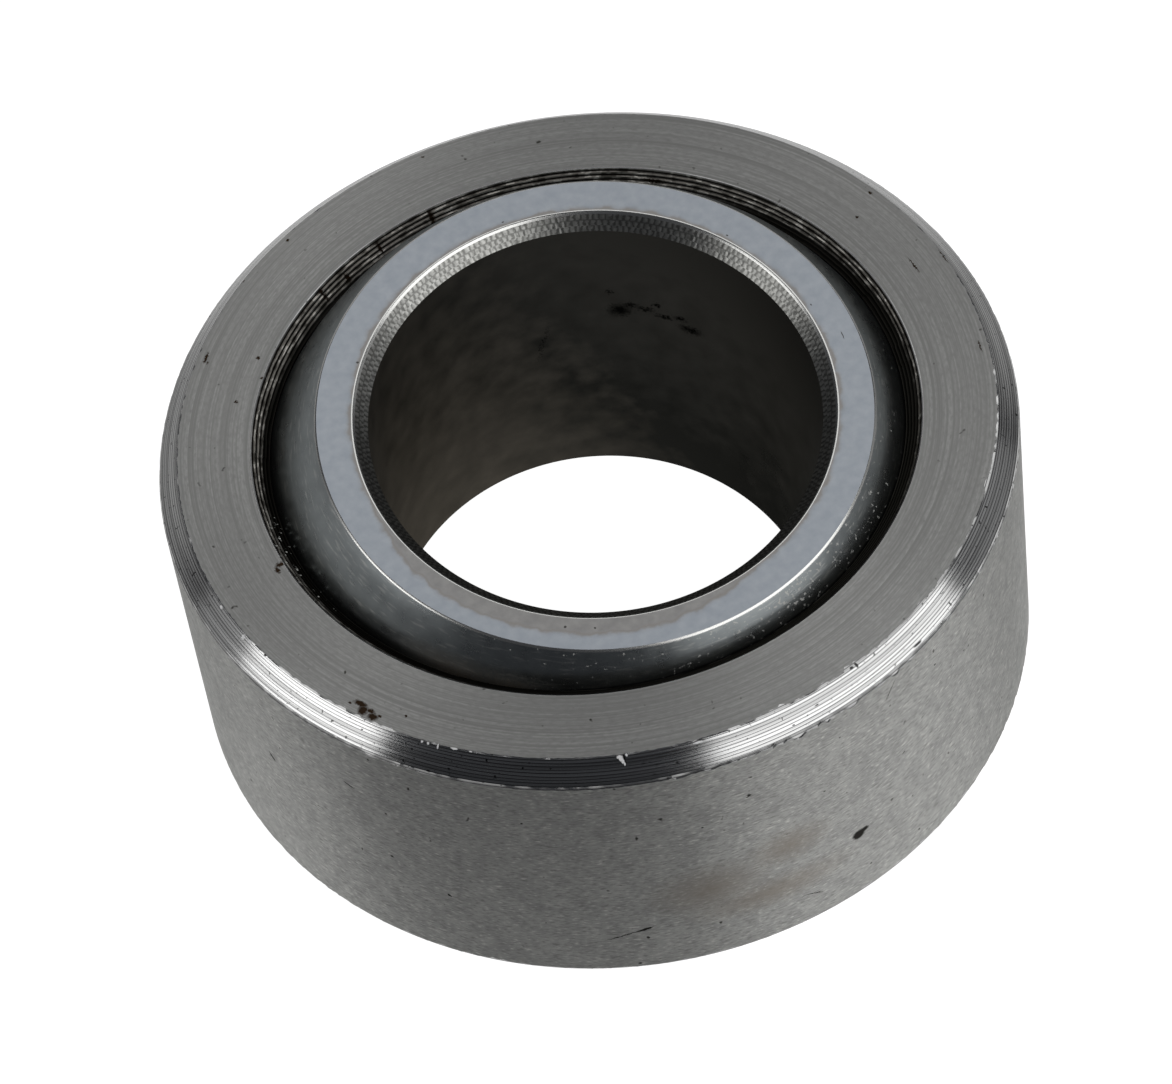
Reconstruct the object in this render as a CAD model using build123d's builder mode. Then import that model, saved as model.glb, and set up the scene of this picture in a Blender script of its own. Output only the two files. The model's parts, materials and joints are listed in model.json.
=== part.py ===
from build123d import *
from math import acos, asin, atan2, degrees, hypot, sqrt
import os

# Spherical plain bearing, lying on a table as a loose one does. A steel ball with flat ends and a
# plain bore turns inside a one-piece outer ring, which was closed round it. The ball is wider than
# the ring, so it stands on its own flat end, and the ring leans until its rim touches the table.
# The origin is the centre of the sphere, +Z is the ball's bore axis, and the ring leans about X.

# Ball, in millimetres: the flat end lies between the bore's chamfer and the sphere
bore_diameter = 19.05
ball_width = 19.05
bore_chamfer = 0.62
end_face_land = 1.54
ball_edge_break = 0.12

# Outer ring: the wall is the thinnest one, at the middle of the race, and the mouth is the cone
# that opens the race at each face
race_clearance = 0.05
race_wall = 3.13
ring_width = 15.06
ring_chamfer = 0.9
mouth_chamfer = 0.7

bore_radius = bore_diameter / 2
ball_half = ball_width / 2
ring_half = ring_width / 2

# The sphere passes through the rim of the ball's flat ends.
ball_face_radius = bore_radius + bore_chamfer + end_face_land
ball_radius = hypot(ball_face_radius, ball_half)

race_radius = ball_radius + race_clearance
race_edge_height = ring_half - mouth_chamfer
race_edge_radius = sqrt(race_radius**2 - race_edge_height**2)
mouth_radius = race_edge_radius + mouth_chamfer
ring_radius = race_radius + race_wall
ring_face_radius = ring_radius - ring_chamfer

# The ring leans until the rim of its lower face comes down to the ball's lower face.
rim_reach = hypot(ring_half, ring_face_radius)
ring_lean = degrees(atan2(ring_face_radius, ring_half) - acos(ball_half / rim_reach))
# The ball may swivel until the rim of its end face comes level with the ring's face.
swivel_limit = degrees(asin(ball_half / ball_radius) - asin(ring_half / ball_radius))

# Ball: one section, turned about the bore's axis
with BuildPart() as ball:
    with BuildSketch(Plane.XZ) as ball_section:
        with BuildLine():
            Polyline(
                (ball_face_radius, -ball_half),
                (bore_radius + bore_chamfer, -ball_half),
                (bore_radius, -ball_half + bore_chamfer),
                (bore_radius, ball_half - bore_chamfer),
                (bore_radius + bore_chamfer, ball_half),
                (ball_face_radius, ball_half),
            )
            ThreePointArc(
                (ball_face_radius, ball_half),
                (ball_radius, 0),
                (ball_face_radius, -ball_half),
            )
        make_face()
        sphere_corners = ball_section.vertices().group_by(Axis.X)[-1]
        chamfer(sphere_corners, ball_edge_break)
    revolve(axis=Axis.Z)
ball.part.label = "ball"

# Outer ring: one section, drawn on a plane that leans with the ring and turned about its own axis
ring_plane = Plane.XZ.rotated((-ring_lean, 0, 0))
ring_axis = Axis(ring_plane.origin, ring_plane.y_dir)
with BuildPart() as outer_ring:
    with BuildSketch(ring_plane) as ring_section:
        with BuildLine():
            ThreePointArc(
                (race_edge_radius, race_edge_height),
                (race_radius, 0),
                (race_edge_radius, -race_edge_height),
            )
            Polyline(
                (race_edge_radius, race_edge_height),
                (mouth_radius, ring_half),
                (ring_radius, ring_half),
                (ring_radius, -ring_half),
                (mouth_radius, -ring_half),
                (race_edge_radius, -race_edge_height),
            )
        make_face()
        rim_corners = ring_section.vertices().group_by(Axis.X)[-1]
        chamfer(rim_corners, ring_chamfer)
    revolve(axis=ring_axis)
outer_ring.part.label = "outer_ring"

os.makedirs("parts", exist_ok=True)
export_step(ball.part, "parts/ball.step")
export_step(outer_ring.part, "parts/outer_ring.step")
print("ball diameter", round(2 * ball_radius, 3), "ring diameter", round(2 * ring_radius, 3))
print("ring lean", round(ring_lean, 3), "swivel limit", round(swivel_limit, 3), "degrees")
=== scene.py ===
import json
import math

import bmesh
import bpy
from mathutils import Matrix, Vector, noise


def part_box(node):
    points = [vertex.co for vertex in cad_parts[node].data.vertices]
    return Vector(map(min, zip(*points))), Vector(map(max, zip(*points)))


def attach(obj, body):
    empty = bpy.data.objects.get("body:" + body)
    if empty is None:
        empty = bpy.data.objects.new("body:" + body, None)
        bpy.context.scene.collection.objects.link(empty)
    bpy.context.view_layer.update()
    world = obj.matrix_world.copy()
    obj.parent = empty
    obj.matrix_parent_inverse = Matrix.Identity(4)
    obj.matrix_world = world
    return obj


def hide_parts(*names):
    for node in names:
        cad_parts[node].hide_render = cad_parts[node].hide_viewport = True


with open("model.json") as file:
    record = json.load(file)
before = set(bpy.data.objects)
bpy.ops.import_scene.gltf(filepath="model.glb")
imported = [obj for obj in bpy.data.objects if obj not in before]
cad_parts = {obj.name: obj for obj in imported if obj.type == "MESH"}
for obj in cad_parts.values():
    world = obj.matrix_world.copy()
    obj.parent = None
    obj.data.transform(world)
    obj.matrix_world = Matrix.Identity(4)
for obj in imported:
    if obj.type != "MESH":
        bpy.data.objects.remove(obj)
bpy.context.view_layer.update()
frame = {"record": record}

# Outer ring
# One ring of bearing steel, closed round the ball so that its race wraps the sphere. The faces, the
# outer chamfers and the mouths of the race were turned and left with tool marks and torn edges. The
# outside was ground round. Lengths are in millimetres until the mesh is finished.
MM = 0.001
# How far a slope of 45 degrees goes out, and how far up, for each mm along it
DIAGONAL = math.sqrt(0.5)

mounts = {mount["name"]: mount for mount in frame["record"]["mounts"]}
ring_axis = Vector(mounts["outer_diameter"]["axis"])
ring_lean = math.atan2(ring_axis.y, ring_axis.z)
ring_radius = mounts["outer_diameter"]["dims"]["r_mm"]
ring_half = Vector(mounts["ring_face_top"]["pos_m"]).dot(ring_axis) / MM
ring_chamfer = ring_half - mounts["outer_diameter"]["dims"]["length_mm"] / 2
ring_face_radius = ring_radius - ring_chamfer
ball_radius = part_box("ball")[1].x / MM
race_clearance = 0.05
mouth_chamfer = 0.7
race_radius = ball_radius + race_clearance
race_edge_height = ring_half - mouth_chamfer
race_edge_radius = math.sqrt(race_radius**2 - race_edge_height**2)
mouth_radius = race_edge_radius + mouth_chamfer


def add_node(tree, kind, inputs=(), **settings):
    """Adds a node with its settings, and feeds its inputs with values or other nodes' sockets."""
    node = tree.nodes.new(kind)
    for name, value in settings.items():
        setattr(node, name, value)
    for name, value in dict(inputs).items():
        if isinstance(value, bpy.types.NodeSocket):
            tree.links.new(value, node.inputs[name])
        else:
            node.inputs[name].default_value = value
    return node


def linear(hex_colour):
    """The linear colour of an sRGB hex value."""
    parts = [int(hex_colour[i : i + 2], 16) / 255 for i in (1, 3, 5)]
    return [*(p / 12.92 if p <= 0.04045 else ((p + 0.055) / 1.055) ** 2.4 for p in parts), 1]


def new_material(name, lean):
    """A material with an empty tree, and its place in mm in the frame its piece was turned in."""
    material = bpy.data.materials.new(name)
    material.use_nodes = True
    tree = material.node_tree
    tree.nodes.clear()
    coordinates = add_node(tree, "ShaderNodeTexCoord")
    place = add_node(
        tree,
        "ShaderNodeMapping",
        {"Vector": coordinates.outputs["Object"], "Rotation": (lean, 0, 0), "Scale": [1 / MM] * 3},
    )
    return material, tree, place.outputs[0]


def off_axis(tree, place):
    """A point's place without its height, and its distance from the axis of the piece."""
    flat = add_node(tree, "ShaderNodeVectorMath", {0: place, 1: (1, 1, 0)}, operation="MULTIPLY")
    radius = add_node(tree, "ShaderNodeVectorMath", {0: flat.outputs[0]}, operation="LENGTH")
    return flat.outputs[0], radius.outputs["Value"]


def drawn_out(tree, place, around, across, outwards, upwards):
    """Coordinates in which an even pattern is around mm long and across mm wide.

    Its width lies outwards and upwards, in those shares, and its length round the axis."""
    flat, radius = off_axis(tree, place)
    height = add_node(tree, "ShaderNodeSeparateXYZ", {0: place})
    lifted = add_node(
        tree, "ShaderNodeMath", {0: height.outputs["Z"], 1: upwards / across}, operation="MULTIPLY"
    )
    crossing = add_node(
        tree,
        "ShaderNodeMath",
        {0: radius, 1: outwards / across, 2: lifted.outputs[0]},
        operation="MULTIPLY_ADD",
    )
    upright = add_node(tree, "ShaderNodeCombineXYZ", {"Z": crossing.outputs[0]})
    return add_node(
        tree,
        "ShaderNodeVectorMath",
        {0: flat, 1: [1 / around] * 3, 2: upright.outputs[0]},
        operation="MULTIPLY_ADD",
    ).outputs[0]


def tones(tree, amount, low, high, dark, light):
    """Blends from dark to light as amount goes from low to high."""
    share = add_node(tree, "ShaderNodeMapRange", {0: amount, 1: low, 2: high})
    return add_node(
        tree, "ShaderNodeMix", {0: share.outputs[0], 6: dark, 7: light}, data_type="RGBA"
    ).outputs[2]


def marks(tree, place, spots, ragged):
    """How far a point lies from the nearest of the spots, in spot sizes: under 1 inside it, 9 at most.

    A spot is its turn in degrees, radius and height, its slant in degrees, and its half size
    outwards, along and upwards. Ragged is how far its edge wanders, in mm."""
    grain = add_node(tree, "ShaderNodeTexNoise", {"Vector": place, "Scale": 9.0, "Detail": 3.0})
    torn = add_node(
        tree,
        "ShaderNodeVectorMath",
        {0: grain.outputs["Color"], 1: [ragged] * 3, 2: place},
        operation="MULTIPLY_ADD",
    )
    nearest = 9.0
    for turn, radius, height, slant, outwards, along, upwards in spots:
        angle = math.radians(turn)
        middle = Vector((radius * math.cos(angle), radius * math.sin(angle), height))
        inside = add_node(
            tree,
            "ShaderNodeMapping",
            {
                "Vector": torn.outputs[0],
                "Location": middle + Vector([ragged / 2] * 3),
                "Rotation": (math.radians(slant), 0, angle),
                "Scale": (outwards, along, upwards),
            },
            vector_type="TEXTURE",
        )
        reach = add_node(tree, "ShaderNodeVectorMath", {0: inside.outputs[0]}, operation="LENGTH")
        nearest = add_node(
            tree,
            "ShaderNodeMath",
            {0: nearest, 1: reach.outputs["Value"]},
            operation="MINIMUM",
        ).outputs[0]
    return nearest


def steel(tree, colour, roughness, anisotropy=0.0, edge=1.0, bumps=None):
    """Ends a tree in bare steel whose tool marks run round the axis of the piece.

    Its highlights spread across those marks, so the radial tangent takes a quarter turn. Edge is how
    bright it stays when it is seen at a low angle."""
    lay = add_node(tree, "ShaderNodeTangent", direction_type="RADIAL", axis="Z")
    inputs = {
        "Base Color": colour,
        "Metallic": 1.0,
        "Roughness": roughness,
        "Specular Tint": (edge, edge, edge, 1),
        "Anisotropic": anisotropy,
        "Anisotropic Rotation": 0.25,
        "Tangent": lay.outputs[0],
    }
    if bumps:
        inputs["Normal"] = bumps
    shader = add_node(tree, "ShaderNodeBsdfPrincipled", inputs)
    add_node(tree, "ShaderNodeOutputMaterial", {"Surface": shader.outputs[0]})


# Turned face: even dull grey with faint rings from the tool, fine grain, a painted highlight on the
# inner edge, specks, scratches and a patch of dirt. The grain is drawn coarser than real, so it shows.
turned_face, tree, place = new_material("steel_face_turned", ring_lean)
rings = add_node(
    tree,
    "ShaderNodeTexNoise",
    {
        "Vector": drawn_out(tree, place, around=20, across=0.07, outwards=1, upwards=0),
        "Scale": 1.0,
        "Detail": 1.0,
    },
)
grain = add_node(
    tree,
    "ShaderNodeTexNoise",
    {
        "Vector": drawn_out(tree, place, around=0.3, across=0.12, outwards=1, upwards=0),
        "Scale": 1.0,
        "Detail": 4.0,
    },
)
specks = add_node(tree, "ShaderNodeTexNoise", {"Vector": place, "Scale": 2.7, "Detail": 1.0})
grey = tones(tree, rings.outputs[0], 0.3, 0.7, linear("#8e8e8c"), linear("#a7a7a5"))
grained = tones(tree, grain.outputs[0], 0.2, 0.6, linear("#8e8e8c"), grey)
specked = tones(tree, specks.outputs[0], 0.75, 0.82, grained, linear("#4d4b48"))
radius = off_axis(tree, place)[1]
# The face's inner edge gets a pale ring of painted highlight.
inner_highlight_start = mouth_radius + 0.04
inner_highlight_end = mouth_radius + 0.07
inner_edge_highlighted = tones(tree, radius, inner_highlight_start, inner_highlight_end, linear("#cfcfcb"), specked)
dirt = marks(
    tree,
    place,
    [
        (132.1, 16.99, ring_half, 0, 0.07, 0.3, 0.3),
        (133.0, 16.85, ring_half, 0, 0.05, 0.09, 0.3),
        (130.3, 14.78, ring_half, 0, 0.08, 0.1, 0.3),
        (134.4, 14.27, ring_half, 0, 0.09, 0.07, 0.3),
        (139.9, 15.09, ring_half, 0, 0.06, 0.08, 0.3),
        (107.7, 17.10, ring_half, 0, 0.06, 0.07, 0.3),
        (117.3, 17.36, ring_half, 0, 0.06, 0.07, 0.3),
        (83.0, 17.03, ring_half, 0, 0.05, 0.06, 0.3),
        (11.7, 17.08, ring_half, 0, 0.06, 0.09, 0.3),
        (9.7, 15.74, ring_half, 0, 0.08, 0.08, 0.3),
        (-3.8, 16.01, ring_half, 0, 0.035, 0.45, 0.3),
        (-4.6, 17.32, ring_half, 0, 0.035, 0.45, 0.3),
        (-22.3, 16.99, ring_half, 0, 0.03, 0.3, 0.3),
        (-154.9, 16.78, ring_half, 0, 0.14, 0.3, 0.3),
        (-154.0, 17.02, ring_half, 0, 0.22, 0.2, 0.3),
        (-153.0, 16.9, ring_half, 0, 0.1, 0.16, 0.3),
        (-152.2, 17.1, ring_half, 0, 0.17, 0.22, 0.3),
        (-151.4, 16.95, ring_half, 0, 0.06, 0.08, 0.3),
        (-156.3, 16.95, ring_half, 0, 0.05, 0.1, 0.3),
        (-148.1, 16.50, ring_half, 0, 0.06, 0.06, 0.3),
        (175.9, 14.36, ring_half, 0, 0.24, 0.11, 0.3),
        (176.7, 14.60, ring_half, 0, 0.09, 0.18, 0.3),
    ],
    ragged=0.22,
)
face_colour = tones(tree, dirt, 0.7, 1.3, linear("#35291f"), inner_edge_highlighted)
rise = add_node(
    tree, "ShaderNodeBump", {"Height": grain.outputs[0], "Distance": 6e-7, "Strength": 1.0}
)
steel(tree, face_colour, roughness=0.55, anisotropy=0.85, bumps=rise.outputs[0])

# Turned chamfer: bright cut steel. Thin dark lines of painted shade run in the tool's grooves, white
# painted glints mark torn flecks on its rims, and painted shade darkens its nicks.
groove_count = 9
rim_break = 0.04
groove_pitch = (ring_chamfer - rim_break) * math.sqrt(2) / groove_count
turned_chamfer, tree, place = new_material("steel_chamfer_turned", ring_lean)
groove_lie = drawn_out(
    tree, place, around=9, across=groove_pitch, outwards=DIAGONAL, upwards=-DIAGONAL
)
# At this scale the wave has one band for each unit of its coordinates, which is one groove.
one_band = math.tau / 20
grooves = add_node(
    tree,
    "ShaderNodeTexWave",
    {
        "Vector": groove_lie,
        "Scale": one_band,
        "Distortion": 1.6,
        "Detail": 2.0,
        "Detail Scale": 3.0,
    },
    bands_direction="Z",
)
streaks = add_node(
    tree,
    "ShaderNodeTexNoise",
    {
        "Vector": drawn_out(tree, place, around=12, across=0.1, outwards=0.7, upwards=-0.7),
        "Scale": 1.0,
        "Detail": 1.0,
    },
)
cut = tones(tree, streaks.outputs[0], 0.35, 0.6, linear("#a3a3a2"), linear("#cacac9"))
specks = add_node(tree, "ShaderNodeTexNoise", {"Vector": place, "Scale": 5.5, "Detail": 1.0})
specked = tones(tree, specks.outputs[0], 0.7, 0.76, cut, linear("#3c3c3b"))
# The tool's grooves get thin dark lines of painted shade.
groove_shaded = tones(tree, grooves.outputs[1], 0.02, 0.22, linear("#5a5a5b"), specked)
# Torn flecks on the rims get painted white glints.
glint_flecks = marks(
    tree,
    place,
    [
        (178.0, 17.44, 7.45, 0, 0.07, 0.1, 0.07),
        (-175.9, 17.48, 7.41, 0, 0.1, 0.08, 0.1),
        (-174.6, 17.42, 7.46, 0, 0.06, 0.1, 0.06),
        (-144.2, 17.40, 7.49, 0, 0.05, 0.05, 0.05),
        (-143.3, 17.40, 7.49, 0, 0.06, 0.05, 0.06),
        (-141.9, 17.42, 7.48, 0, 0.12, 0.04, 0.12),
        (-139.6, 17.37, 7.52, 0, 0.05, 0.17, 0.05),
        (-137.3, 17.37, 7.52, 0, 0.03, 0.08, 0.03),
        (-117.25, 17.42, 7.47, 0, 0.07, 0.13, 0.07),
        (-117.1, 17.49, 7.40, 0, 0.09, 0.1, 0.09),
        (-116.9, 17.56, 7.33, 0, 0.09, 0.07, 0.09),
        (-116.7, 17.63, 7.26, 0, 0.09, 0.04, 0.09),
        (-116.3, 17.38, 7.50, 0, 0.06, 0.05, 0.06),
        (-106.6, 17.44, 7.45, 0, 0.05, 0.22, 0.05),
    ],
    ragged=0.06,
)
# Nicks on the rims get painted shade.
nick_shade = marks(
    tree,
    place,
    [
        (-82.5, 17.40, 7.49, 0, 0.14, 0.06, 0.14),
        (-83.3, 17.38, 7.51, 0, 0.06, 0.1, 0.06),
        (-171.2, 17.38, 7.51, 0, 0.05, 0.08, 0.05),
        (-142.6, 18.18, 6.70, 0, 0.05, 0.1, 0.05),
        (-116.7, 17.46, 7.42, 0, 0.16, 0.05, 0.16),
        (-106.4, 17.40, 7.48, 0, 0.05, 0.22, 0.05),
        (-73.5, 18.10, 6.77, 0, 0.05, 0.25, 0.05),
        (-90.0, 17.75, 7.14, 0, 0.03, 0.1, 0.03),
        (-94.0, 17.95, 6.93, 0, 0.03, 0.07, 0.03),
    ],
    ragged=0.08,
)
nick_shaded = tones(tree, nick_shade, 0.7, 1.2, linear("#2f2f2f"), groove_shaded)
glint_painted = tones(tree, glint_flecks, 0.8, 1.1, linear("#ffffff"), nick_shaded)
fleck_dull = add_node(tree, "ShaderNodeMapRange", {0: glint_flecks, 1: 0.8, 2: 1.1, 3: 0.9, 4: 0.2})
rise = add_node(
    tree, "ShaderNodeBump", {"Height": streaks.outputs[0], "Distance": 6e-7, "Strength": 1.0}
)
steel(
    tree,
    glint_painted,
    roughness=fleck_dull.outputs[0],
    anisotropy=0.6,
    edge=0.65,
    bumps=rise.outputs[0],
)

# Ground outside: dull grey and mottled, with short scuffs that run round, specks of dirt, stains and
# pits. The scuffs are drawn coarser than real, so that they show.
ground_outside, tree, place = new_material("steel_outside_ground", ring_lean)
scuffs = add_node(
    tree,
    "ShaderNodeTexNoise",
    {
        "Vector": drawn_out(tree, place, around=0.28, across=0.085, outwards=0, upwards=1),
        "Scale": 1.0,
        "Detail": 3.0,
    },
)
mottle = add_node(tree, "ShaderNodeTexNoise", {"Vector": place, "Scale": 1.3, "Detail": 6.0})
specks = add_node(tree, "ShaderNodeTexNoise", {"Vector": place, "Scale": 2.6, "Detail": 1.0})
grey = tones(tree, mottle.outputs[0], 0.3, 0.7, linear("#a5a5a3"), linear("#b9b9b6"))
darker = tones(tree, scuffs.outputs[0], 0.25, 0.5, linear("#8f8f8c"), grey)
lighter = tones(tree, scuffs.outputs[0], 0.58, 0.74, darker, linear("#d6d6d1"))
specked = tones(tree, specks.outputs[0], 0.75, 0.82, lighter, linear("#4a4845"))
stains = marks(
    tree,
    place,
    [
        (-96.8, ring_radius, -0.60, 0, 1.0, 1.1, 0.7),
        (-108.1, ring_radius, -1.78, 0, 1.0, 1.5, 1.0),
        (-100.0, ring_radius, -3.4, 0, 1.0, 2.2, 0.6),
    ],
    ragged=1.2,
)
stains_and_shade = tones(tree, stains, -0.4, 2.0, linear("#958e85"), specked)
pits = marks(
    tree,
    place,
    [
        (-86.5, ring_radius, -2.5, 0, 0.2, 0.3, 0.27),
        (-85.6, ring_radius, -2.38, 0, 0.2, 0.22, 0.14),
        (-119.8, ring_radius, -4.13, 20, 0.2, 0.85, 0.03),
        (-117.2, ring_radius, -3.85, 20, 0.2, 0.34, 0.07),
        (-93.9, ring_radius, -4.88, -25, 0.2, 0.38, 0.025),
        (-79.4, ring_radius, 5.66, 55, 0.2, 0.5, 0.02),
        (-76.3, ring_radius, -5.41, 0, 0.2, 0.06, 0.06),
        (-85.0, ring_radius, -5.10, 0, 0.2, 0.05, 0.05),
        (-155.6, ring_radius, 3.44, -20, 0.2, 0.26, 0.04),
        (-170.6, ring_radius, 1.37, -50, 0.2, 0.24, 0.07),
        (-150.8, ring_radius, -0.73, 0, 0.2, 0.07, 0.06),
        (-143.0, ring_radius, -2.3, -40, 0.2, 0.1, 0.05),
        (-101.5, ring_radius, 3.9, 30, 0.2, 0.14, 0.03),
        (-91.0, ring_radius, 1.9, 0, 0.2, 0.05, 0.04),
        (-78.0, ring_radius, 0.8, 40, 0.2, 0.1, 0.03),
        (-71.0, ring_radius, 4.6, 0, 0.2, 0.06, 0.05),
        (-64.5, ring_radius, 3.2, 20, 0.2, 0.05, 0.04),
        (-88.0, ring_radius, 4.9, 0, 0.2, 0.05, 0.03),
        (-108.0, ring_radius, 2.7, 0, 0.2, 0.04, 0.04),
        (-131.0, ring_radius, 4.1, 0, 0.2, 0.05, 0.04),
    ],
    ragged=0.12,
)
outside_colour = tones(tree, pits, 0.8, 1.3, linear("#2c2a27"), stains_and_shade)
rise = add_node(
    tree, "ShaderNodeBump", {"Height": scuffs.outputs[0], "Distance": 3e-6, "Strength": 1.0}
)
steel(tree, outside_colour, roughness=0.66, anisotropy=1.0, bumps=rise.outputs[0])

# Mouth of the race: coarse ridges, each a row of dashes between lines of painted shade, drowned in
# black painted shade further down and towards the near side, with grit at the left
ridge_count = 5
ridge_pitch = math.sqrt(2) * (mouth_radius - race_edge_radius) / ridge_count
ridge_start = DIAGONAL * (race_edge_radius + race_edge_height)
turned_mouth, tree, place = new_material("steel_mouth_turned", ring_lean)
ridge_lie = drawn_out(
    tree, place, around=1, across=ridge_pitch, outwards=DIAGONAL, upwards=DIAGONAL
)
risen = add_node(tree, "ShaderNodeSeparateXYZ", {0: ridge_lie})
level = add_node(
    tree,
    "ShaderNodeMath",
    {0: risen.outputs["Z"], 1: ridge_start / ridge_pitch},
    operation="SUBTRACT",
)
ridge = add_node(tree, "ShaderNodeMath", {0: level.outputs[0]}, operation="FLOOR")
own_row = add_node(tree, "ShaderNodeCombineXYZ", {"Z": ridge.outputs[0]})
dash_lie = drawn_out(tree, place, around=0.6, across=1, outwards=0, upwards=0)
row_place = add_node(
    tree,
    "ShaderNodeVectorMath",
    {0: dash_lie, 1: (1, 1, 0), 2: own_row.outputs[0]},
    operation="MULTIPLY_ADD",
)
dashes = add_node(
    tree, "ShaderNodeTexNoise", {"Vector": row_place.outputs[0], "Scale": 1.0, "Detail": 2.0}
)
fold = add_node(tree, "ShaderNodeMath", {0: level.outputs[0]}, operation="FRACT")
valley = add_node(tree, "ShaderNodeMath", {0: fold.outputs[0], 1: 0.5}, operation="SUBTRACT")
flank = add_node(tree, "ShaderNodeMath", {0: valley.outputs[0]}, operation="ABSOLUTE")
dashed = tones(tree, dashes.outputs[0], 0.38, 0.48, linear("#413f3b"), linear("#6f6c67"))
bright = tones(tree, dashes.outputs[0], 0.56, 0.62, dashed, linear("#a9a6a0"))
# The bottom of each hollow between the ridges gets a dark line of painted shade.
valley_shaded = tones(tree, flank.outputs[0], 0.1, 0.24, linear("#15120f"), bright)
clots = marks(
    tree,
    place,
    [
        (98.5, 13.92, 7.22, 0, 0.4, 0.1, 0.4),
        (87.2, 13.90, 7.20, 0, 0.4, 0.14, 0.4),
        (107.0, 13.80, 7.10, 0, 0.25, 0.12, 0.25),
        (112.8, 13.95, 7.25, 0, 0.4, 0.1, 0.4),
        (46.0, 13.85, 7.18, 0, 0.1, 0.6, 0.1),
    ],
    ragged=0.3,
)
clotted = tones(tree, clots, 0.6, 1.2, linear("#17100a"), valley_shaded)
# The painted shade stands this many ridges lower at the far side than at the middle.
shade_tilt = 2.2
far_side = math.radians(82)
towards_far = Vector((math.cos(far_side), math.sin(far_side), 0)) * shade_tilt / mouth_radius
farther = add_node(
    tree, "ShaderNodeVectorMath", {0: place, 1: towards_far}, operation="DOT_PRODUCT"
)
clear = add_node(
    tree,
    "ShaderNodeMath",
    {0: level.outputs[0], 1: farther.outputs["Value"]},
    operation="ADD",
)
pale_side = math.radians(-75)
towards_pale = Vector((math.cos(pale_side), math.sin(pale_side), 0)) / mouth_radius
paler = add_node(
    tree, "ShaderNodeVectorMath", {0: place, 1: towards_pale}, operation="DOT_PRODUCT"
)
# Black painted shade fills the mouth deep down, paler towards one side.
deep_shade = tones(tree, paler.outputs["Value"], 0.3, 1.0, linear("#161513"), linear("#272623"))
deep_shaded = tones(tree, clear.outputs[0], 2.3, 3.9, deep_shade, clotted)
grit = add_node(tree, "ShaderNodeTexNoise", {"Vector": place, "Scale": 5.0, "Detail": 1.0})
grit_middle = (-13.8, 1.5, 7.0)
strewn = add_node(
    tree, "ShaderNodeVectorMath", {0: place, 1: grit_middle}, operation="DISTANCE"
)
settled = add_node(
    tree,
    "ShaderNodeMath",
    {0: strewn.outputs["Value"], 1: -0.03, 2: grit.outputs[0]},
    operation="MULTIPLY_ADD",
)
gritty = tones(tree, settled.outputs[0], 0.62, 0.67, deep_shaded, linear("#b5b5b0"))
steel(tree, gritty, roughness=0.4, anisotropy=0.5, edge=0.15)

# Race: near black with painted shade, deep in the gap round the ball
closed_race, tree, place = new_material("steel_race_painted_shade", ring_lean)
steel(tree, linear("#0f0f0e"), roughness=0.25, edge=0.15)

# The ring's mesh: the upper half of its section is turned through one sector, then mirrored and copied
# all the way round. Edges sharper than CREASE stay crisp.
TURN_STEPS = 720
SECTORS = 24
CREASE = math.radians(13)


def turned(bm, start, end, cuts, material, shape=None, steps=TURN_STEPS):
    """Turns the line from start to end, each (radius, height), through one sector of the piece.

    The line first gets cuts points, which shape moves, from their place along it."""
    low = Vector((start[0], 0, start[1]))
    high = Vector((end[0], 0, end[1]))
    edges = [bm.edges.new((bm.verts.new(low), bm.verts.new(high)))]
    if cuts:
        parts = bmesh.ops.subdivide_edges(bm, edges=edges, cuts=cuts)
        edges = [part for part in parts["geom_split"] if isinstance(part, bmesh.types.BMEdge)]
    points = {point for edge in edges for point in edge.verts}
    for point in points:
        if shape:
            point.co = shape(point.co, (point.co - low).length / (high - low).length)
    faces_before = len(bm.faces)
    bmesh.ops.spin(
        bm,
        geom=[*points, *edges],
        cent=(0, 0, 0),
        axis=(0, 0, 1),
        angle=math.tau / SECTORS,
        steps=steps // SECTORS,
    )
    bm.faces.ensure_lookup_table()
    for face in bm.faces[faces_before:]:
        face.material_index = material
        face.smooth = True


def full_turn(bm):
    """Mirrors the turned upper half below the middle and copies the sector all the way round."""
    bmesh.ops.mirror(bm, geom=bm.verts[:] + bm.edges[:] + bm.faces[:], merge_dist=1e-4, axis="Z")
    bmesh.ops.spin(
        bm,
        geom=bm.verts[:] + bm.edges[:] + bm.faces[:],
        cent=(0, 0, 0),
        axis=(0, 0, 1),
        angle=math.tau * (SECTORS - 1) / SECTORS,
        steps=SECTORS - 1,
        use_duplicate=True,
    )
    bmesh.ops.remove_doubles(bm, verts=bm.verts, dist=1e-3)
    bmesh.ops.recalc_face_normals(bm, faces=bm.faces)


def rounded(centre, radius):
    """Moves the points of a line out to an arc."""
    middle = Vector((centre[0], 0, centre[1]))
    return lambda point, along: middle + (point - middle).normalized() * radius


def grooved(count, depth, sink):
    """Hollows a line into tool marks, each a shallow arc between two ridges."""

    def shape(point, along):
        part = (along * count) % 1
        return point + Vector((sink[0], 0, sink[1])).normalized() * depth * (1 - (2 * part - 1) ** 2)

    return shape


def wander(turn, features, seed):
    """A smooth uneven value, about -0.5 to 0.5, with so many features round the axis."""
    reach = features / math.tau
    return noise.noise(Vector((math.cos(turn) * reach, math.sin(turn) * reach, seed)))


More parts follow.
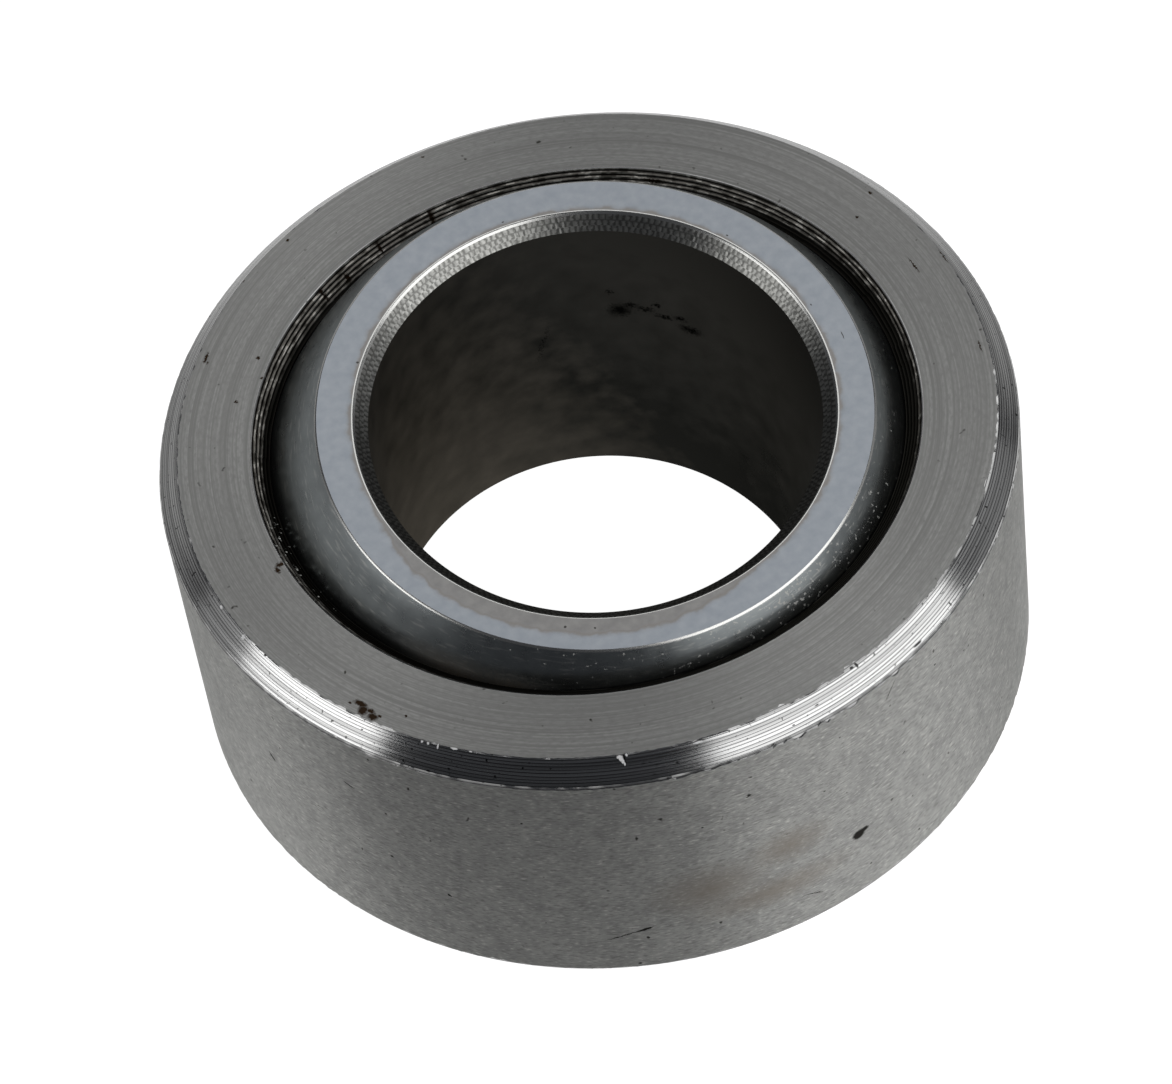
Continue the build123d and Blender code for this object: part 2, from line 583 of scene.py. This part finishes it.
def finished(bm, name, body, node, lean, materials):
    bmesh.ops.rotate(bm, verts=bm.verts, cent=(0, 0, 0), matrix=Matrix.Rotation(-lean, 3, "X"))
    bmesh.ops.scale(bm, verts=bm.verts, vec=(MM, MM, MM))
    mesh = bpy.data.meshes.new(name)
    bm.to_mesh(mesh)
    bm.free()
    mesh.set_sharp_from_angle(angle=CREASE)
    for material in materials:
        mesh.materials.append(material)
    piece = bpy.data.objects.new(name, mesh)
    bpy.context.scene.collection.objects.link(piece)
    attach(piece, body)
    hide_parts(node)


def chipped(turn, coarse, fine, seed):
    """How far a rim is chipped away. Coarse and fine chips are each a depth in mm and a number."""
    return abs(coarse[0] * wander(turn, coarse[1], seed) + fine[0] * wander(turn, fine[1], seed + 5))


FACE, RIM, OUTSIDE, MOUTH, RACE = range(5)
steps_per_mark = 4
ridge_depth = 0.03
groove_depth = 0.002
mouth_lip = 0.015
mouth_edge = 0.05
chamfer_low = ring_half - ring_chamfer
race_edge = (race_edge_radius, race_edge_height)
lip = (mouth_radius, ring_half - mouth_lip)
face_inside = (mouth_radius + mouth_edge, ring_half)
face_outside = (ring_face_radius, ring_half)
rim_above = (ring_radius - rim_break, chamfer_low + rim_break)
rim_below = (ring_radius, chamfer_low - rim_break)
ridges = grooved(ridge_count, ridge_depth, (1, -1))
tool_marks = grooved(groove_count, groove_depth, (-1, -1))
bm = bmesh.new()
turned(bm, (race_radius, 0), race_edge, 7, RACE, rounded((0, 0), race_radius))
turned(bm, race_edge, lip, steps_per_mark * ridge_count - 1, MOUTH, ridges)
turned(bm, lip, face_inside, 0, RIM)
turned(bm, face_inside, face_outside, 0, FACE)
turned(bm, face_outside, rim_above, steps_per_mark * groove_count - 1, RIM, tool_marks)
turned(bm, rim_above, rim_below, 0, RIM)
turned(bm, rim_below, (ring_radius, 0), 0, OUTSIDE)
full_turn(bm)

# The mouth's ridges jump where the tool did, and the rims of the outer chamfers are chipped, most of
# all at the near side.
worn_side = math.radians(-119)
ridge_jump = 0.015
jumps_per_radian = 13
hair = 1e-3
rim_zone = 1.5 * rim_break
for vert in bm.verts:
    turn = math.atan2(vert.co.y, vert.co.x)
    radius = math.hypot(vert.co.x, vert.co.y)
    height = abs(vert.co.z)
    side = math.copysign(1, vert.co.z)
    outward = Vector((vert.co.x, vert.co.y, 0)) / radius
    patchy = 0.5 + 1.5 * max(0, wander(turn, 11, side + 20))
    torn = patchy * (0.65 + 0.35 * math.cos(turn - worn_side))
    on_ridges = race_edge_height + hair < height < ring_half - mouth_lip - hair
    if on_ridges and radius < mouth_radius + hair:
        jump = noise.cell(Vector((turn * jumps_per_radian + 0.4 * height, side, 3))) - 0.5
        vert.co += (outward + Vector((0, 0, side))) * ridge_jump * jump
    if abs(height - ring_half) < hair and abs(radius - ring_face_radius) < hair:
        vert.co -= outward * torn * chipped(turn, (0.14, 160), (0.2, 420), side)
    if height > chamfer_low - rim_zone and radius > ring_radius - rim_zone:
        vert.co.z -= side * torn * chipped(turn, (0.3, 140), (0.24, 400), side + 9)
finished(
    bm,
    "outer_ring_turned",
    "outer_ring",
    "outer_ring",
    ring_lean,
    [turned_face, turned_chamfer, ground_outside, turned_mouth, closed_race],
)

# Ball
# A ball of hardened bearing steel. Its sphere is polished, its two ends were ground flat, and the
# bore was reamed and chamfered with a tool that chattered. It turns in the ring's race.
bore_radius = mounts["bore"]["dims"]["r_mm"]
ball_half = mounts["ball_face_top"]["pos_m"][2] / MM
bore_chamfer = ball_half - mounts["bore"]["dims"]["length_mm"] / 2
chamfer_top = bore_radius + bore_chamfer

# Polished sphere: satin, with a brown film at the left front, and strewn with dust, most of all at the
# right front. The hairlines are drawn coarser than real, so that they show.
polished_sphere, tree, place = new_material("steel_sphere_polished", 0)
smudges = add_node(tree, "ShaderNodeTexNoise", {"Vector": place, "Scale": 1.4, "Detail": 5.0})
dust = add_node(tree, "ShaderNodeTexNoise", {"Vector": place, "Scale": 6.5, "Detail": 1.0})
dust_middle = (2.2, -12.0, 8.9)
strewn = add_node(
    tree, "ShaderNodeVectorMath", {0: place, 1: dust_middle}, operation="DISTANCE"
)
settled = add_node(
    tree,
    "ShaderNodeMath",
    {0: strewn.outputs["Value"], 1: -0.009, 2: dust.outputs[0]},
    operation="MULTIPLY_ADD",
)
steel_tone = tones(tree, smudges.outputs[0], 0.3, 0.7, linear("#939899"), linear("#9ea3a4"))
hairlines = add_node(
    tree,
    "ShaderNodeTexNoise",
    {
        "Vector": drawn_out(tree, place, around=0.7, across=0.06, outwards=1, upwards=0),
        "Scale": 1.0,
        "Detail": 2.0,
    },
)
scratched = tones(tree, hairlines.outputs[0], 0.56, 0.74, steel_tone, linear("#bdbfbd"))
film = marks(
    tree,
    place,
    [
        (-148.0, 13.0, 7.6, 0, 0.8, 3.0, 0.8),
        (-138.0, 12.9, 7.8, 0, 0.6, 2.0, 0.6),
    ],
    ragged=0.7,
)
filmed = tones(tree, film, -0.4, 1.4, linear("#6a5942"), scratched)
dusty = tones(tree, settled.outputs[0], 0.62, 0.69, filmed, linear("#d0d0cc"))
haze = add_node(
    tree, "ShaderNodeMapRange", {0: smudges.outputs[0], 1: 0.3, 2: 0.7, 3: 0.27, 4: 0.29}
)
matt = add_node(
    tree, "ShaderNodeMapRange", {0: film, 1: -0.4, 2: 1.4, 3: 0.75, 4: haze.outputs[0]}
)
dull = add_node(
    tree,
    "ShaderNodeMapRange",
    {0: settled.outputs[0], 1: 0.62, 2: 0.69, 3: matt.outputs[0], 4: 0.7},
)
steel(tree, dusty, roughness=dull.outputs[0], edge=0.5)

# Ground end: satin, bluish, worn to a plain grey beside the bore, most of all at the near side, with
# a dull line where the wear ends
ground_end, tree, place = new_material("steel_end_ground", 0)
flat, radius = off_axis(tree, place)
uneven = add_node(tree, "ShaderNodeTexNoise", {"Vector": place, "Scale": 1.6, "Detail": 6.0})
outward = add_node(tree, "ShaderNodeVectorMath", {0: flat}, operation="NORMALIZE")
near_side = math.radians(-134)
towards_near = (math.cos(near_side), math.sin(near_side), 0)
facing = add_node(
    tree, "ShaderNodeVectorMath", {0: outward.outputs[0], 1: towards_near}, operation="DOT_PRODUCT"
)
widened = add_node(
    tree,
    "ShaderNodeMapRange",
    {0: facing.outputs["Value"], 1: 0.6, 2: 0.97, 3: 0.2, 4: -0.42},
    interpolation_type="SMOOTHSTEP",
)
torn = add_node(
    tree,
    "ShaderNodeMath",
    {0: uneven.outputs[0], 1: -0.55, 2: radius},
    operation="MULTIPLY_ADD",
)
worn = add_node(
    tree, "ShaderNodeMath", {0: torn.outputs[0], 1: widened.outputs[0]}, operation="ADD"
)
from_border = add_node(
    tree, "ShaderNodeMath", {0: worn.outputs[0], 1: chamfer_top}, operation="SUBTRACT"
)
beside = add_node(tree, "ShaderNodeMath", {0: from_border.outputs[0]}, operation="ABSOLUTE")
patches = add_node(tree, "ShaderNodeTexNoise", {"Vector": place, "Scale": 2.0, "Detail": 5.0})
bluish = tones(tree, patches.outputs[0], 0.3, 0.7, linear("#989ea5"), linear("#a3a8ae"))
plain = tones(tree, patches.outputs[0], 0.35, 0.65, linear("#898887"), linear("#959492"))
satin = tones(tree, from_border.outputs[0], -0.14, 0.24, plain, bluish)
bordered = tones(tree, beside.outputs[0], 0.0, 0.13, linear("#8c8986"), satin)
pits = marks(
    tree,
    place,
    [
        (-128.8, 10.63, ball_half, 0, 0.06, 0.06, 0.3),
        (-122.2, 10.63, ball_half, 0, 0.04, 0.05, 0.3),
        (133.5, 10.3, ball_half, 0, 0.06, 0.05, 0.3),
        (-13.5, 11.0, ball_half, 0, 0.02, 0.2, 0.3),
        (80.0, 10.4, ball_half, 0, 0.03, 0.05, 0.3),
        (25.0, 10.4, ball_half, 0, 0.03, 0.05, 0.3),
        (-3.0, 10.45, ball_half, 0, 0.03, 0.05, 0.3),
    ],
    ragged=0.05,
)
pitted = tones(tree, pits, 0.8, 1.2, linear("#4a4947"), bordered)
steel(tree, pitted, roughness=0.5, anisotropy=0.2)

# Bore chamfer: cut steel, marked all round by a chattering tool in three rows, each half a mark on
# from the last. A pale strip at its upper edge carries a painted highlight, as the ball's own rim does
chatter_marks = 236
chatter_rows = 3
chatter_drift = 7.0
edge_arc = 0.11
arc_reach = edge_arc * math.tan(math.radians(22.5))
highlight_strip_width = 0.07
highlight_strip_radius = chamfer_top - arc_reach * DIAGONAL - highlight_strip_width
bored_chamfer, tree, place = new_material("steel_bore_chamfer", 0)
scratches = add_node(tree, "ShaderNodeTexNoise", {"Vector": place, "Scale": 6.0, "Detail": 3.0})
radius = off_axis(tree, place)[1]
sides = add_node(tree, "ShaderNodeSeparateXYZ", {0: place})
turn = add_node(
    tree, "ShaderNodeMath", {0: sides.outputs["Y"], 1: sides.outputs["X"]}, operation="ARCTAN2"
)
level = add_node(
    tree,
    "ShaderNodeMapRange",
    {0: radius, 1: bore_radius, 2: highlight_strip_radius, 3: 0, 4: chatter_rows},
)
row = add_node(tree, "ShaderNodeMath", {0: level.outputs[0]}, operation="FLOOR")
above_inner = add_node(
    tree, "ShaderNodeMath", {0: level.outputs[0], 1: chatter_rows - 1}, operation="SUBTRACT"
)
beside = add_node(tree, "ShaderNodeMath", {0: above_inner.outputs[0]}, operation="ABSOLUTE")
drift = add_node(tree, "ShaderNodeMapRange", {0: scratches.outputs[0], 3: 0.0, 4: chatter_drift})
shifted = add_node(
    tree,
    "ShaderNodeMath",
    {0: row.outputs[0], 1: math.pi, 2: drift.outputs[0]},
    operation="MULTIPLY_ADD",
)
phase = add_node(
    tree,
    "ShaderNodeMath",
    {0: turn.outputs[0], 1: chatter_marks, 2: shifted.outputs[0]},
    operation="MULTIPLY_ADD",
)
swing = add_node(tree, "ShaderNodeMath", {0: phase.outputs[0]}, operation="SINE")
marked = tones(tree, scratches.outputs[0], 0.35, 0.65, linear("#8b8b88"), linear("#afafab"))
chattered = tones(tree, swing.outputs[0], -1.0, 0.4, linear("#6a6a67"), marked)
between_rows = tones(tree, beside.outputs[0], 0.0, 0.2, linear("#72726f"), chattered)
steel(tree, between_rows, roughness=0.34)
# The pale colour of the ball's edges and rims is a painted highlight.
edge_highlight, tree, place = new_material("steel_edge_painted_highlight", 0)
steel(tree, linear("#cececb"), roughness=0.26)

# Bore: dark all over with painted shade, lighter towards the upper right and browner towards the lower
# left, with black stains and a scratch
bored_wall, tree, place = new_material("steel_bore_painted_shade", 0)
patches = add_node(tree, "ShaderNodeTexNoise", {"Vector": place, "Scale": 0.9, "Detail": 8.0})
right = add_node(
    tree, "ShaderNodeVectorMath", {0: place, 1: (0.044, -0.025, 0.1)}, operation="DOT_PRODUCT"
)
upper_right = add_node(
    tree,
    "ShaderNodeMath",
    {0: patches.outputs[0], 1: right.outputs["Value"]},
    operation="ADD",
)
left = add_node(
    tree, "ShaderNodeVectorMath", {0: place, 1: (-0.087, 0.049, -0.05)}, operation="DOT_PRODUCT"
)
lower_left = add_node(
    tree,
    "ShaderNodeMath",
    {0: patches.outputs[0], 1: left.outputs["Value"]},
    operation="ADD",
)
# Painted shade keeps the bore dark, lighter towards the upper right.
stains_and_shade = tones(tree, upper_right.outputs[0], 0.1, 1.3, linear("#2a2a28"), linear("#454441"))
brown = tones(tree, lower_left.outputs[0], 0.5, 2.3, stains_and_shade, linear("#635e56"))
stains = marks(
    tree,
    place,
    [
        (52.3, bore_radius, 2.93, 0, 1.0, 0.4, 0.35),
        (49.5, bore_radius, 3.4, 0, 1.0, 0.25, 0.15),
        (45.5, bore_radius, 3.2, 0, 1.0, 0.3, 0.12),
        (42.3, bore_radius, 3.71, 0, 1.0, 0.14, 0.12),
        (40.5, bore_radius, 2.9, 0, 1.0, 0.3, 0.12),
        (36.0, bore_radius, 3.1, 0, 1.0, 0.22, 0.14),
        (33.2, bore_radius, 2.49, 0, 1.0, 0.4, 0.2),
        (55.0, bore_radius, 4.3, 0, 1.0, 0.1, 0.12),
        (73.0, bore_radius, 0.9, 12, 1.0, 0.03, 1.0),
    ],
    ragged=0.8,
)
pitted = tones(tree, stains, 0.4, 1.7, linear("#141413"), brown)
steel(tree, pitted, roughness=0.6, edge=0.35)

# The ball's mesh: its rims are crowned, from the steep end of an arc at the sphere to the shallow end
# at the flat. A narrow guard at each border of the flat keeps its shading flat.
BALL_STEPS = 1440
SPHERE, END, CHAMFER, EDGE, BORE = range(5)
rim_crown = 0.4
steep = math.radians(41)
shallow = math.radians(58)
rim_end_height = ball_half - rim_crown * (math.sin(shallow) - math.sin(steep))
rim_end = (math.sqrt(ball_radius**2 - rim_end_height**2), rim_end_height)
rim_centre = (rim_end[0] - rim_crown * math.cos(steep), rim_end[1] - rim_crown * math.sin(steep))
guard = 0.03
bm = bmesh.new()


def ball_line(start, end, cuts, material, shape=None):
    """Turns one line of the ball's section, in the finer steps that its chatter marks need."""
    turned(bm, start, end, cuts, material, shape, BALL_STEPS)


bore_end = (bore_radius, ball_half - bore_chamfer)
highlight_strip_start = (highlight_strip_radius, ball_half - chamfer_top + highlight_strip_radius)
chamfer_end = (chamfer_top - arc_reach * DIAGONAL, ball_half - arc_reach * DIAGONAL)
face_start = (chamfer_top + arc_reach, ball_half)
face_end = (rim_centre[0] + rim_crown * math.cos(shallow), ball_half)
ball_line((bore_radius, 0), bore_end, 0, BORE)
ball_line(bore_end, highlight_strip_start, 7, CHAMFER)
ball_line(highlight_strip_start, chamfer_end, 0, EDGE)
ball_line(chamfer_end, face_start, 4, EDGE, rounded((face_start[0], ball_half - edge_arc), edge_arc))
ball_line(face_start, (face_start[0] + guard, ball_half), 0, END)
ball_line((face_start[0] + guard, ball_half), (face_end[0] - guard, ball_half), 0, END)
ball_line((face_end[0] - guard, ball_half), face_end, 0, END)
ball_line(face_end, rim_end, 3, EDGE, rounded(rim_centre, rim_crown))
ball_line(rim_end, (ball_radius, 0), 9, SPHERE, rounded((0, 0), ball_radius))
full_turn(bm)

# The chatter marks are ripples too, in the same rows as in their material.
ripple_depth = 0.003
for vert in bm.verts:
    turn = math.atan2(vert.co.y, vert.co.x)
    radius = math.hypot(vert.co.x, vert.co.y)
    along = (radius - bore_radius) / (highlight_strip_radius - bore_radius)
    if 0.02 < along < 0.98 and abs(vert.co.z) > ball_half - bore_chamfer:
        side = math.copysign(1, vert.co.z)
        outward = Vector((vert.co.x, vert.co.y, 0)) / radius
        row = math.floor(chatter_rows * along)
        phase = chatter_marks * turn + math.pi * row + chatter_drift / 2
        swing = math.sin(phase + 4 * wander(turn, 300, row))
        ripple = ripple_depth * swing * (0.8 + 1.2 * wander(turn, 90, side))
        vert.co += (outward - Vector((0, 0, side))) * ripple * DIAGONAL
finished(
    bm,
    "ball_ground",
    "ball",
    "ball",
    0,
    [polished_sphere, ground_end, bored_chamfer, edge_highlight, bored_wall],
)

# Camera
# It looks down on the part from its left front, a little turned about its own line of sight. Its
# offset sets the part where it stands in the frame. Lengths are in mm, as on the ball and the ring.
camera_azimuth = math.radians(-29.391)
camera_elevation = math.radians(58.17)
camera_roll = math.radians(-3.283)
camera_distance = 231.956
camera_offset = (0.6589, 0.5221)
camera_lens = 164.76
camera_sensor = 36


def away(azimuth, elevation):
    """The unit vector towards a direction, with azimuth counted from -Y towards +X."""
    return Vector(
        (
            math.sin(azimuth) * math.cos(elevation),
            -math.cos(azimuth) * math.cos(elevation),
            math.sin(elevation),
        )
    )


back = away(camera_azimuth, camera_elevation)
level_right = Vector((math.cos(camera_azimuth), math.sin(camera_azimuth), 0))
level_up = back.cross(level_right)
camera_right = level_right * math.cos(camera_roll) + level_up * math.sin(camera_roll)
camera_up = level_up * math.cos(camera_roll) - level_right * math.sin(camera_roll)
camera_place = back * camera_distance - camera_right * camera_offset[0] - camera_up * camera_offset[1]
camera_data = bpy.data.cameras.new("camera")
camera_data.sensor_width = camera_sensor
camera_data.lens = camera_lens
camera_data.clip_start = 0.01
camera = bpy.data.objects.new("camera", camera_data)
camera_turn = Matrix((camera_right, camera_up, back)).transposed().to_4x4()
camera.matrix_world = Matrix.Translation(camera_place * MM) @ camera_turn
bpy.context.scene.collection.objects.link(camera)
bpy.context.scene.camera = camera

# Table
# A wide white board. The camera and reflections see it glow over a darker shade of itself, so that it
# shows white and still takes the part's shadow. For reflections the glow falls off beyond the pool of
# light that the part stands in, whose middle lies 7 mm to the camera's right.
table_radius = 2.5
pool_middle = level_right * 7
pool_inner = 44.0
pool_outer = 57.0
dim_start = 120.0
dim_end = 500.0
board_shade = 0.22
bm = bmesh.new()
bmesh.ops.create_circle(bm, cap_ends=True, segments=96, radius=table_radius)
bmesh.ops.translate(bm, verts=bm.verts, vec=(0, 0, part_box("ball")[0].z))
mesh = bpy.data.meshes.new("table")
bm.to_mesh(mesh)
bm.free()
table = bpy.data.objects.new("table", mesh)
bpy.context.scene.collection.objects.link(table)
white_board, tree, place = new_material("table_white_board", 0)
lit = add_node(tree, "ShaderNodeBsdfDiffuse", {"Color": linear("#e6e6e6")})
shaded = add_node(tree, "ShaderNodeBsdfDiffuse", {"Color": [board_shade] * 3 + [1]})
reach = add_node(tree, "ShaderNodeVectorMath", {0: place}, operation="LENGTH")
from_pool = add_node(
    tree, "ShaderNodeVectorMath", {0: place, 1: pool_middle}, operation="DISTANCE"
)
pool = add_node(
    tree,
    "ShaderNodeMapRange",
    {0: from_pool.outputs["Value"], 1: pool_inner, 2: pool_outer, 3: 0.98, 4: 0.3},
    interpolation_type="SMOOTHSTEP",
)
distant = add_node(
    tree,
    "ShaderNodeMapRange",
    {0: reach.outputs["Value"], 1: dim_start, 2: dim_end, 3: 1.0, 4: 0.75},
)
rays = add_node(tree, "ShaderNodeLightPath")
pooled = add_node(
    tree,
    "ShaderNodeMath",
    {0: pool.outputs[0], 1: rays.outputs["Is Camera Ray"]},
    operation="MAXIMUM",
)
strength = add_node(
    tree,
    "ShaderNodeMath",
    {0: pooled.outputs[0], 1: distant.outputs[0]},
    operation="MULTIPLY",
)
glow = add_node(
    tree, "ShaderNodeEmission", {"Color": linear("#ffffff"), "Strength": strength.outputs[0]}
)
seen = add_node(tree, "ShaderNodeAddShader", {0: shaded.outputs[0], 1: glow.outputs[0]})
either = add_node(
    tree,
    "ShaderNodeMath",
    {0: rays.outputs["Is Camera Ray"], 1: rays.outputs["Is Glossy Ray"]},
    operation="MAXIMUM",
)
any_of = add_node(
    tree,
    "ShaderNodeMath",
    {0: either.outputs[0], 1: rays.outputs["Is Transmission Ray"]},
    operation="MAXIMUM",
)
mixed = add_node(
    tree, "ShaderNodeMixShader", {0: any_of.outputs[0], 1: lit.outputs[0], 2: seen.outputs[0]}
)
add_node(tree, "ShaderNodeOutputMaterial", {"Surface": mixed.outputs[0]})
mesh.materials.append(white_board)

# Lamps and room
# Two large soft lamps draw the bright stretches of the outer chamfers, white cards fill in beside
# them, and a panel behind lights the flat ends. All stand 0.6 m from the part, in a dim grey room.
room_grey = (0.043, 0.045, 0.05, 1)


def softbox(name, beside, elevation, wide, tall, radiance, roll=0):
    """A lamp seen from the part beside degrees to the camera's right, wide by tall degrees.

    Elevation and roll are in degrees too, and a radiance of 1 is seen as plain white."""
    distance = 0.6
    towards = away(camera_azimuth + math.radians(beside), math.radians(elevation))
    data = bpy.data.lights.new(name, "AREA")
    data.shape = "RECTANGLE"
    data.size = 2 * distance * math.tan(math.radians(wide) / 2)
    data.size_y = 2 * distance * math.tan(math.radians(tall) / 2)
    data.energy = radiance * math.pi * data.size * data.size_y
    lamp = bpy.data.objects.new(name, data)
    aim = towards.to_track_quat("Z", "Y").to_matrix().to_4x4()
    aim = aim @ Matrix.Rotation(math.radians(roll), 4, "Z")
    lamp.matrix_world = Matrix.Translation(towards * distance) @ aim
    lamp.visible_camera = False
    bpy.context.scene.collection.objects.link(lamp)


softbox("softbox_left", beside=-75, elevation=21.5, wide=33, tall=14, radiance=2.5, roll=17)
softbox("card_left", beside=-97, elevation=8, wide=12, tall=13, radiance=0.4)
softbox("softbox_right", beside=58, elevation=35, wide=58, tall=33, radiance=1.86, roll=-10)
softbox("card_low", beside=48, elevation=7, wide=44, tall=13, radiance=0.9)
softbox("card_right", beside=101, elevation=12, wide=36, tall=18, radiance=0.27)
softbox("panel_behind", beside=180, elevation=60, wide=82, tall=52, radiance=1.1)

world = bpy.data.worlds.new("room")
bpy.context.scene.world = world
world.use_nodes = True
world.node_tree.nodes.clear()
room = add_node(world.node_tree, "ShaderNodeBackground", {"Color": room_grey})
add_node(world.node_tree, "ShaderNodeOutputWorld", {"Surface": room.outputs[0]})

bpy.context.scene.view_settings.view_transform = "Standard"
